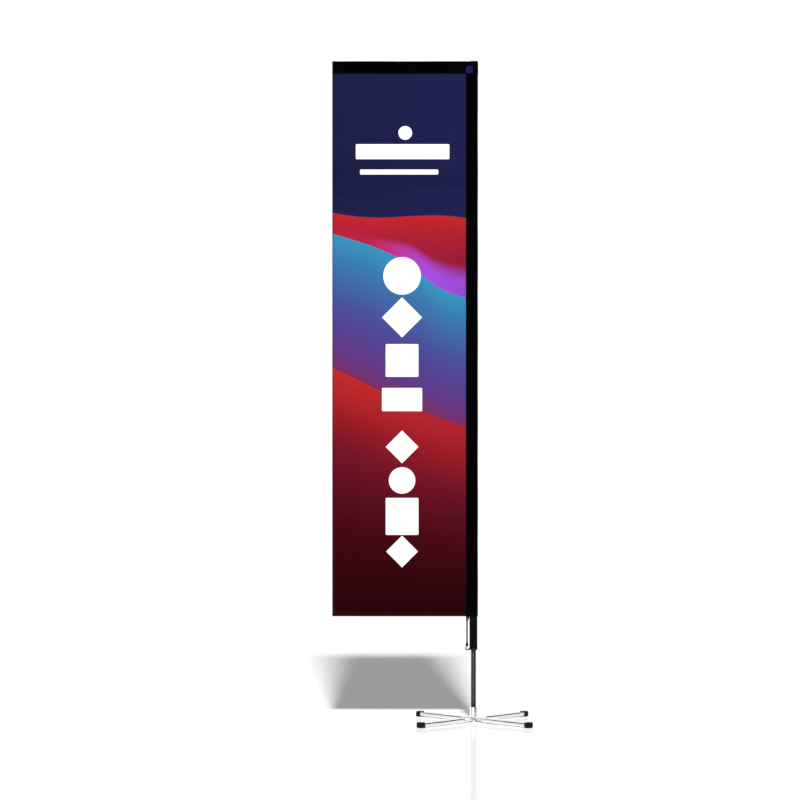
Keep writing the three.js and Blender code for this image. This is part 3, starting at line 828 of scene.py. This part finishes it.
def corner_patch():
    low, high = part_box("corner_patch")
    steps = 30
    a, b = np.meshgrid(np.linspace(-1, 1, steps), np.linspace(-1, 1, steps))
    power = 14
    farther = np.maximum(np.abs(a), np.abs(b))
    squeeze = (np.abs(a) ** power + np.abs(b) ** power + 1e-9) ** (-1 / power) * farther
    a, b = a * np.minimum(squeeze, 1), b * np.minimum(squeeze, 1)
    x = (low.x + high.x) / 2 + a * (high.x - low.x) / 2
    z = (low.z + high.z) / 2 + b * (high.z - low.z) / 2
    edge = np.maximum(np.abs(a), np.abs(b))
    turned_in = PATCH_FOLD * ease((edge - 0.72) / 0.06)
    y = -corner_reach(x, z) - PATCH_LIFT - turned_in
    points = np.stack([x, y, z], axis=-1).reshape(-1, 3)
    piece = add_mesh("corner_patch_cloth", points, grid_faces(steps, steps), [LOOKS["navy_cloth"]])
    set_uv(piece, x.ravel(), z.ravel())
    return thicken(piece, 0.55 * MM)


# ---- Stitches

STITCH_LONG = 3.6 * MM
STITCH_PITCH = 5.2 * MM
STITCH_R = 0.32 * MM
STITCH_WANDER = 0.12 * MM
stitches_random = random.Random(7)


def stitch_template():
    """A thread that dips into the cloth at both ends, along +X with the cloth's normal along +Z."""
    sides, rings = 6, 5
    points = []
    for i in range(rings):
        share = i / (rings - 1)
        bulge = math.sin(math.pi * (0.08 + 0.84 * share))
        radius = STITCH_R * (0.55 + 0.45 * bulge)
        lift = STITCH_R * (1.1 * bulge - 0.55)
        for k in range(sides):
            turn = 2 * math.pi * k / sides
            height = lift + radius * math.sin(turn)
            points.append(((share - 0.5) * STITCH_LONG, radius * math.cos(turn), height))
    return np.array(points), grid_faces(rings, sides, wrap=True) + end_caps(rings, sides)


def stitch_row(surface, start=0, end=1):
    """Stitches along a line. surface(t) gives the point and the outward normal at t from 0 to 1."""
    steps = 400
    line = np.array([surface(start + (end - start) * i / steps)[0] for i in range(steps + 1)])
    lengths = section_lengths(line)
    count = max(int(lengths[-1] / STITCH_PITCH), 1)
    middles = (np.arange(count) + 0.5) * lengths[-1] / count
    template, template_faces = stitch_template()
    parts = []
    for middle in middles:
        share = np.interp(middle, lengths, np.linspace(start, end, steps + 1))
        nudge = (end - start) * STITCH_LONG / 2 / lengths[-1]
        point, normal = surface(share)
        along = surface(share + nudge)[0] - surface(share - nudge)[0]
        along /= np.linalg.norm(along)
        normal = normal - along * (normal @ along)
        normal /= np.linalg.norm(normal)
        side = np.cross(normal, along)
        aside = side * stitches_random.uniform(-STITCH_WANDER, STITCH_WANDER)
        placed = template @ np.stack([along, side, normal]) + point + aside
        parts.append((placed, template_faces))
    return merged(parts)


def on_panel(x, z, facing):
    """A point on the panel's front (facing -1) or back (+1), and its normal."""
    y = float(billow(x, z)) + facing * float(half_thickness(x, z))
    return np.array([x, y, z]), np.array([0.0, facing, 0.0])


def between(start, end, share):
    return start + (end - start) * share


def panel_line(start, end, facing):
    """A straight line on one face of the panel, between two places (x, z)."""

    def surface(t):
        return on_panel(between(start[0], end[0], t), between(start[1], end[1], t), facing)

    return surface


def panel_hem_stitches():
    inset = HEM - 2.6 * MM
    x, z = FLAG_LEFT + inset, FLAG_FOOT + inset
    free_edge = ((x, FLAG_FOOT + 3 * MM), (x, SEAM_Z - 2 * MM))
    foot = ((FLAG_LEFT + 3 * MM, z), (SEAM_X - 2 * MM, z))
    rows = [stitch_row(panel_line(*ends, facing)) for facing in (-1, 1) for ends in (free_edge, foot)]
    return add_mesh("panel_hem_stitches", *merged(rows), [THREAD])


def one_point(place, a, b, s):
    """The point that place gives for one pair a, b."""
    return place(np.array([float(a)]), np.array([float(b)]), s)[0]


def seam_line(place, shape, ends, inset, facing):
    """A line along a sleeve on one face, inset from its sewn tip. shape is radius, tip and tip_half."""
    from_middle = shape[1] - inset
    reach = float(skin_reach(from_middle, *shape))
    beside = float(skin_reach(from_middle - MM, *shape))

    def surface(t):
        s = between(*ends, t)
        origin = one_point(place, 0, 0, s)
        out = one_point(place, 0, facing, s) - origin
        tilt = one_point(place, beside - reach, 0, s) - origin
        normal = out * MM - tilt
        return one_point(place, from_middle, facing * reach, s), normal / np.linalg.norm(normal)

    return surface


def sleeve_stitches():
    inset = 2.4 * MM
    pole_seam = (upright, (SLEEVE_R, -SEAM_X, SEAM_HALF), (FLAG_FOOT + 3 * MM, SEAM_Z - POCKET_LAP))
    arm_shape = (ARM_SLEEVE_R, ARM_Z - SEAM_Z, SEAM_HALF)
    arm_seam = (level, arm_shape, (FLAG_LEFT + 3 * MM, SEAM_X - 1 * MM))
    seams = [seam_line(*seam, inset, facing) for facing in (-1, 1) for seam in (pole_seam, arm_seam)]
    return add_mesh("sleeve_seam_stitches", *merged([stitch_row(seam) for seam in seams]), [THREAD])


def ring_line(place, section, s, lift):
    """A line round a sleeve at one station."""
    normals = outward(section)
    lengths = section_lengths(section) / section_lengths(section)[-1]

    def surface(t):
        t = min(max(t, 0), 1)
        a, b = (np.interp(t, lengths, section[:, i]) for i in (0, 1))
        n = np.array([np.interp(t, lengths, normals[:, i]) for i in (0, 1)])
        out = one_point(place, a + n[0], b + n[1], s) - one_point(place, a, b, s)
        return one_point(place, a + n[0] * lift, b + n[1] * lift, s), out / np.linalg.norm(out)

    return surface


def hem_ring_stitches():
    pole_section = teardrop(SLEEVE_R, -SEAM_X, SEAM_HALF)
    arm_section = teardrop(ARM_SLEEVE_R, ARM_Z - SEAM_Z, SEAM_HALF)
    rings = [
        (upright, pole_section, FLAG_FOOT + 7.5 * MM, 0.4 * MM, 0.03),
        (level, arm_section, FLAG_LEFT + 7.5 * MM, 0.4 * MM, 0.04),
        (upright, pocket_section(), SEAM_Z - POCKET_LAP + 2.5 * MM, 0.05 * MM, 0.04),
    ]
    rows = [stitch_row(ring_line(*ring), gap, 1 - gap) for *ring, gap in rings]
    return add_mesh("hem_ring_stitches", *merged(rows), [THREAD])


def patch_stitches():
    low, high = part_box("corner_patch")
    inset = 2.4 * MM
    x0, x1, z0, z1 = low.x + inset, high.x - inset, low.z + inset, high.z - inset
    corners = [(x0, z0), (x1, z0), (x1, z1), (x0, z1), (x0, z0)]

    def reach(x, z):
        return float(corner_reach(x, z))

    def side_line(start, end):
        def surface(t):
            x, z = between(start[0], end[0], t), between(start[1], end[1], t)
            slope = (reach(x + MM, z) - reach(x - MM, z)) / 2
            normal = np.array([-slope, -MM, 0.0])
            return np.array([x, -reach(x, z) - PATCH_THREAD_LIFT, z]), normal / np.linalg.norm(normal)

        return surface

    rows = [stitch_row(side_line(a, b), 0.04, 0.96) for a, b in zip(corners, corners[1:])]
    return add_mesh("patch_stitches", *merged(rows), [NAVY_THREAD])


# ---- Tension cord

CORD_R = 2.9 * MM
KNOT_X = (knot_low.x + knot_high.x) / 2
BEAD_X = (bead_low.x + bead_high.x) / 2
HOOK_WIRE = 1.7 * MM
HOOK_R = 6.2 * MM
HOOK_Z = hook_low.z + HOOK_WIRE + HOOK_R
EYE_Z = (tab_low.z + tab_high.z) / 2


def braid(turns, along):
    """The relief of a braid of sixteen strands: two families that pass over and under each other."""
    strands = 8
    lay = 2 * math.pi / (9 * MM)
    one = strands / 2 * turns + lay * along
    other = strands / 2 * turns - lay * along
    over = np.sin(strands / 2 * turns) * math.sin(lay * along)
    first = np.abs(np.cos(one)) + 0.35 * over
    second = np.abs(np.cos(other)) - 0.35 * over
    return 0.9 + 0.1 * np.maximum(first, second)


def tension_cord():
    top = Vector((KNOT_X, 0, (knot_low.z + knot_high.z) / 2))
    bottom = Vector((BEAD_X, 0, bead_high.z - 0.5 * MM))
    path = [top.lerp(bottom, i / 170) for i in range(171)]
    points, faces = tube(path, CORD_R, 40, relief=braid)
    return add_mesh("tension_cord_braid", points, faces, [LOOKS["cord"]])


def cord_knot():
    """A pulled-tight knot under the tab, with the bight that passes through the tab's eye."""
    middle = (knot_low.z + knot_high.z) / 2
    strand, lobe = 1.65 * MM, 1.05 * MM
    path = []
    for i in range(150):
        t = 2 * math.pi * i / 150
        x = lobe * (math.sin(t) + 2 * math.sin(2 * t))
        y = lobe * (math.cos(t) - 2 * math.cos(2 * t))
        path.append((KNOT_X + x, y, middle - 2.1 * MM * math.sin(3 * t)))
    knot = tube(path, strand, 14, closed=True)
    bight = []
    foot = knot_high.z - 1.5 * MM
    for i in range(40):
        turn = 2 * math.pi * i / 40
        z = between(foot, EYE_Z, 0.5 + 0.5 * math.sin(turn))
        bight.append((KNOT_X, 3.0 * MM * math.cos(turn), z))
    loop = tube(bight, 1.3 * MM, 12, closed=True)
    return add_mesh("cord_knot_wraps", *merged([knot, loop]), [LOOKS["black_plastic"]])


def tension_hook():
    points = [(hook_high.x, 0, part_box("pole_foot_ferrule")[0].z + 3.2 * MM)]
    points.append((points[0][0] - 1.4 * MM, 0, points[0][2]))
    for i in range(33):
        turn = math.radians(-60 - 160 * i / 32)
        points.append((BEAD_X + HOOK_R * math.cos(turn), 0, HOOK_Z + HOOK_R * math.sin(turn)))
    wire = tube(smooth_path(points, 4), HOOK_WIRE, 20)
    return add_mesh("tension_hook_wire", *wire, [LOOKS["dark_steel"]])


def cord_bead():
    """A moulded bead like a small pear, which closes the cord's end."""
    sides = 48
    outline = [(0, 2.9), (0.05, 3.7), (0.25, 5.0), (0.42, 5.2), (0.7, 4.4), (0.92, 3.5), (1, 3.1)]
    curve = smooth_path([(share * (bead_high.z - bead_low.z), radius * MM) for share, radius in outline], 7)
    heights = bead_low.z + curve[:, 0]
    turns = np.arange(sides) * 2 * math.pi / sides
    rings = [
        np.stack([BEAD_X + radius * np.cos(turns), radius * np.sin(turns), np.full(sides, height)], axis=-1)
        for height, radius in zip(heights, curve[:, 1])
    ]
    faces = grid_faces(len(rings), sides, wrap=True) + end_caps(len(rings), sides)
    piece = add_mesh("cord_bead_moulding", np.concatenate(rings), faces, [LOOKS["black_plastic"]])
    rim = piece.modifiers.new("rim", "BEVEL")
    rim.width = 0.35 * MM
    rim.segments = 3
    rim.limit_method = "ANGLE"
    rim.angle_limit = math.radians(50)
    return apply_modifiers(piece)


def loop_twist(turns, along):
    """The relief of three strands that turn round each other."""
    return 0.88 + 0.12 * np.abs(np.cos(1.5 * turns + along * 2 * math.pi / (4 * MM)))


def cord_loop():
    """The small loop of cord under the bead, round the bottom of the hook."""
    half, thickness = 3.3 * MM, 1.0 * MM
    eye = HOOK_Z - HOOK_R
    top = bead_low.z - 0.3 * MM
    side = [(-1.8 * MM, top), (-half, eye + 5 * MM), (-half, eye)]
    foot = (0, eye - HOOK_WIRE - thickness - 0.3 * MM)
    route = side + [foot] + [(-y, z) for y, z in reversed(side)]
    path = smooth_path([(BEAD_X, y, z) for y, z in route], 12)
    return add_mesh("cord_loop_strand", *tube(path, thickness, 18, relief=loop_twist), [LOOKS["cord"]])


def sleeve_tab():
    """A webbing tab with an eye, from rings between the eye and its rounded outline."""
    count = 72
    middle_x, half_x = (tab_low.x + tab_high.x) / 2, (tab_high.x - tab_low.x) / 2
    half_z = (tab_high.z - tab_low.z) / 2 + 0.3 * MM
    eye = 1.9 * MM
    rings = []
    turns = np.arange(count) * 2 * math.pi / count
    shape = [(0, -0.75), (0, -1), (0.18, -1.15), (0.3, -1), (0.85, -1), (1, -0.6), (1, 0.6)]
    shape += [(0.85, 1), (0.3, 1), (0.18, 1.15), (0, 1), (0, 0.75)]
    power = 8  # the higher, the squarer the outline
    cosine, sine = np.cos(turns), np.sin(turns)
    stretch = (np.abs(cosine) ** power + np.abs(sine) ** power) ** (-1 / power)
    x_out, z_out = middle_x + half_x * cosine * stretch, EYE_Z + half_z * sine * stretch
    x_in, z_in = KNOT_X + eye * cosine, EYE_Z + eye * sine
    for share, side in shape:
        y = np.full(count, side * 1.2 * MM)
        rings.append(np.stack([between(x_in, x_out, share), y, between(z_in, z_out, share)], axis=-1))
    points = np.concatenate(rings)
    faces = grid_faces(len(shape), count, wrap=True) + closing_faces(len(shape), count)
    piece = add_mesh("sleeve_tab_webbing", points, faces, [LOOKS["black_cloth"]])
    set_uv(piece, points[:, 0], points[:, 2])
    recalculate_normals(piece)
    return piece


# ---- Putting the pieces on the mast


def mount_piece(piece, slot, *nodes):
    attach(piece, "mast")
    if nodes:
        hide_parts(*nodes)
    return piece


panel = mount_piece(flag_panel(), "printed_cloth", "flag_panel")
sleeve_pole = mount_piece(pole_sleeve(), "black_cloth", "pole_sleeve")
sleeve_top = mount_piece(top_sleeve(), "black_cloth", "top_sleeve")
pocket = mount_piece(corner_pocket(), "black_cloth", "top_sleeve")
patch = mount_piece(corner_patch(), "navy_cloth", "corner_patch")
hem_stitches = mount_piece(panel_hem_stitches(), "black_cloth")
seam_stitches = mount_piece(sleeve_stitches(), "black_cloth")
ring_stitches = mount_piece(hem_ring_stitches(), "black_cloth")
border_stitches = mount_piece(patch_stitches(), "navy_cloth")
mount_piece(tension_cord(), "cord", "tension_cord")
mount_piece(cord_knot(), "black_plastic", "cord_knot")
mount_piece(cord_bead(), "black_plastic", "cord_bead")
mount_piece(cord_loop(), "cord", "cord_loop")
mount_piece(tension_hook(), "dark_steel", "tension_hook")
mount_piece(sleeve_tab(), "black_cloth", "sleeve_tab")


def flat_size(section, length):
    return (float(section_lengths(section)[-1]), float(length))


flat_size(teardrop(SLEEVE_R, -SEAM_X, SEAM_HALF), SEAM_Z - FLAG_FOOT + HEM)
flat_size(teardrop(ARM_SLEEVE_R, ARM_Z - SEAM_Z, SEAM_HALF), -12 * MM - FLAG_LEFT + HEM)
flat_size(pocket_section(), FLAG_HEAD - SEAM_Z + POCKET_LAP + HEM)


# ---- Stage, light and camera


def floor():
    size = 60
    points = [(-size, -size, 0), (size, -size, 0), (size, size, 0), (-size, size, 0)]
    material = bpy.data.materials.new("pale_floor")
    material.use_nodes = True
    tree = material.node_tree
    graph = Graph(tree)
    tree.nodes.remove(tree.nodes["Principled BSDF"])
    matt = graph.node("BsdfDiffuse", {"Color": (0.98, 0.98, 0.98, 1)})
    gloss = graph.node("BsdfGlossy", {"Color": (1, 1, 1, 1), "Roughness": 0.09})
    mixed = graph.node("MixShader", {0: 0.16, 1: matt.outputs[0], 2: gloss.outputs[0]})
    graph.feed(tree.nodes["Material Output"].inputs["Surface"], mixed.outputs[0])
    piece = add_mesh("studio_floor", points, [(0, 1, 2, 3)], [material])


def studio_world():
    """White to the eye, soft light on matt surfaces, and light panels with dark gaps in reflections."""
    world = bpy.data.worlds.new("studio")
    bpy.context.scene.world = world
    world.use_nodes = True
    tree = world.node_tree
    tree.nodes.clear()
    graph = Graph(tree)
    direction = graph.node("SeparateXYZ", {"Vector": graph.place("Generated")})
    x, y, z = (direction.outputs[axis] for axis in "XYZ")
    turn = graph.math("ARCTAN2", x, graph.times(y, -1))
    share = graph.line(turn, 0.5 / math.pi, 0.5)
    away = graph.times(graph.math("ABSOLUTE", graph.minus(share, 0.5)), 2)
    white, dark, grey = (1.05, 1.05, 1.06, 1), (0.02, 0.02, 0.024, 1), (0.16, 0.16, 0.17, 1)
    full, none = (1, 1, 1, 1), (0, 0, 0, 1)
    stops = [(0, white), (0.11, white), (0.14, grey), (0.31, dark), (0.34, white)]
    stops += [(0.5, white), (0.525, dark), (0.88, dark), (0.91, white)]
    walls = graph.ramp(share, stops)
    low = graph.ramp(z, [(0.15, full), (0.24, none)])
    ahead = graph.ramp(away, [(0.07, full), (0.17, none)])
    walls = graph.mix(graph.times(low, ahead), walls, white)
    overhead = graph.ramp(z, [(0.45, none), (0.62, full)])
    reflected = graph.mix(overhead, walls, white)
    soft = graph.ramp(away, [(0.3, (0.10, 0.10, 0.10, 1)), (0.8, (0.14, 0.14, 0.14, 1))])
    path = graph.node("LightPath")
    colour = graph.mix(path.outputs["Is Glossy Ray"], soft, reflected)
    colour = graph.mix(path.outputs["Is Camera Ray"], colour, full)
    background = graph.node("Background", {"Color": colour, "Strength": 1.0})
    graph.node("OutputWorld", {"Surface": background.outputs[0]})


def sun(name, strength, angle, towards):
    """A distant light whose rays travel along the direction given."""
    lamp = bpy.data.lights.new(name, "SUN")
    lamp.energy = strength
    lamp.angle = math.radians(angle)
    holder = bpy.data.objects.new(name, lamp)
    holder.rotation_euler = Vector(towards).to_track_quat("-Z", "Y").to_euler()
    bpy.context.scene.collection.objects.link(holder)


CAMERA_PLACE = (-0.2778, -11.1, 1.2183)  # square to the print, at about half the flag's height


def camera():
    lens = bpy.data.cameras.new("camera")
    lens.lens = 132
    lens.sensor_width = 36
    lens.clip_end = 200
    holder = bpy.data.objects.new("camera", lens)
    holder.location = CAMERA_PLACE
    holder.rotation_euler = (math.radians(90), 0, 0)
    bpy.context.scene.collection.objects.link(holder)
    bpy.context.scene.camera = holder


floor()
studio_world()
sun("key_light", 4.08, 4.5, (-0.03, 1.16, -1.0))
sun("overhead_light", 0.06, 30.0, (0.0, 0.15, -1.0))
sun("back_light", 1.3, 20.0, (0.7, -0.7, -0.15))
camera()
bpy.context.scene.view_settings.view_transform = "Standard"
